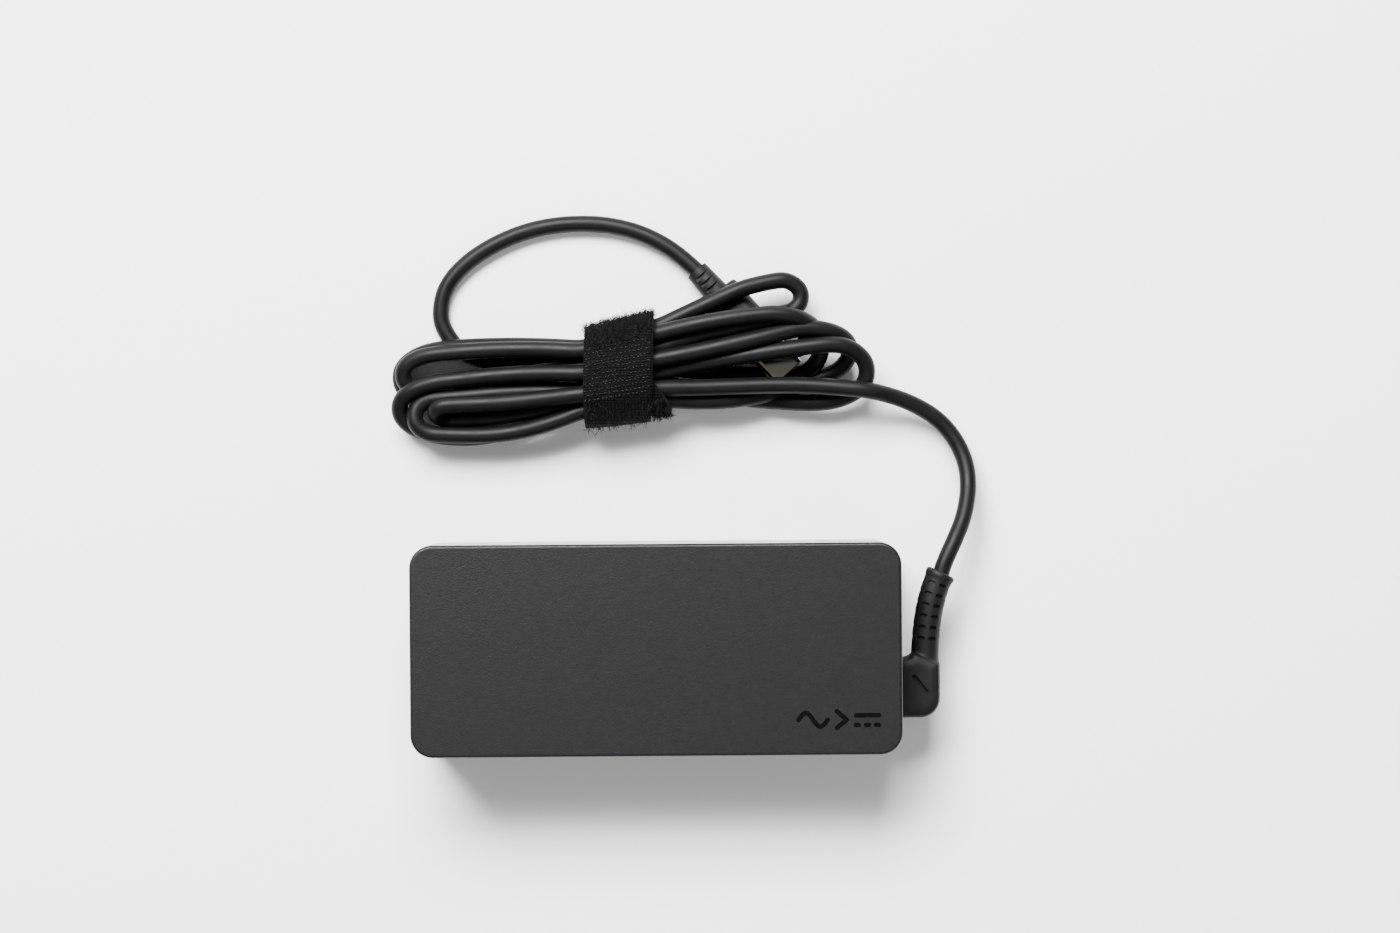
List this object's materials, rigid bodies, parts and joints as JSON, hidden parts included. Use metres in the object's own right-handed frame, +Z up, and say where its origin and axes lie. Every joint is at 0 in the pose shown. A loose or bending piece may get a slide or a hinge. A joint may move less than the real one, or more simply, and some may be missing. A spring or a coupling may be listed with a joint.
{
  "type": "laptop power adapter",
  "caption": "Slab-shaped laptop power adapter with an AC inlet at one end and a right-angle cord boot at the other; its cord is folded into a tied hank and ends in a small plug.",
  "frame": {"origin": "middle of the case's underside, on the surface it rests on", "axes": "+X along the case towards the cord boot, +Y across the case towards the hank, +Z up"},
  "size_m": [0.1326, 0.1209, 0.0295],
  "materials": {
    "case_top": "charcoal, fine textured top face, glossy black sides",
    "case_bottom": "charcoal, fine textured underside, glossy black sides",
    "label": "blank satin label film",
    "inlet_plastic": "black satin socket moulding",
    "pin_metal": "bright nickel plate",
    "spreader_metal": "bare sheet",
    "insulating_film": "translucent film",
    "circuit_board": "green solder resist",
    "yellow_plastic": "moulded box",
    "chip_plastic": "moulded package",
    "heatsink_metal": "sheet metal",
    "disc_coating": "dipped coating",
    "ferrite": "sintered ferrite",
    "capacitor_can": "sleeved can",
    "copper_wire": "enamelled copper",
    "winding_tape": "polyester tape",
    "boot_rubber": "satin moulded elastomer",
    "plug_metal": "bright nickel plate",
    "tongue_plastic": "black insert",
    "contact_metal": "gold plated contacts",
    "cord_jacket": "satin black cord jacket",
    "tie_fabric": "hook and loop tape with a fuzzy pile"
  },
  "bodies": {
    "root": {"top_cover": "case_top", "bottom_cover": "case_bottom", "rating_label": "label", "ac_inlet_housing": "inlet_plastic", "line_pin": "pin_metal", "neutral_pin": "pin_metal", "earth_pin": "pin_metal", "lower_heat_spreader": "spreader_metal", "lower_insulating_sheet": "insulating_film", "upper_heat_spreader": "spreader_metal", "upper_insulating_sheet": "insulating_film", "main_board": "circuit_board", "x_capacitor": "yellow_plastic", "bridge_rectifier": "chip_plastic", "primary_mosfet": "chip_plastic", "primary_heatsink": "heatsink_metal", "optocoupler": "chip_plastic", "pd_controller_board": "circuit_board", "output_heatsink": "heatsink_metal", "fuse": "chip_plastic", "thermistor": "disc_coating", "y_capacitor": "disc_coating", "output_choke": "ferrite", "pd_chip": "chip_plastic", "bulk_capacitor": "capacitor_can", "output_capacitors": "capacitor_can", "choke_core": "ferrite", "choke_windings": "copper_wire", "transformer_core": "ferrite", "transformer_winding": "winding_tape", "cord_boot": "boot_rubber", "plug_overmould": "boot_rubber", "plug_shell": "plug_metal", "plug_tongue": "tongue_plastic", "plug_contacts": "contact_metal", "plug_strain_relief": "boot_rubber", "cord_free_run": "cord_jacket", "cord_tail": "cord_jacket", "cord_hank": "cord_jacket", "hook_and_loop_tie": "tie_fabric"}
  },
  "joints": []
}
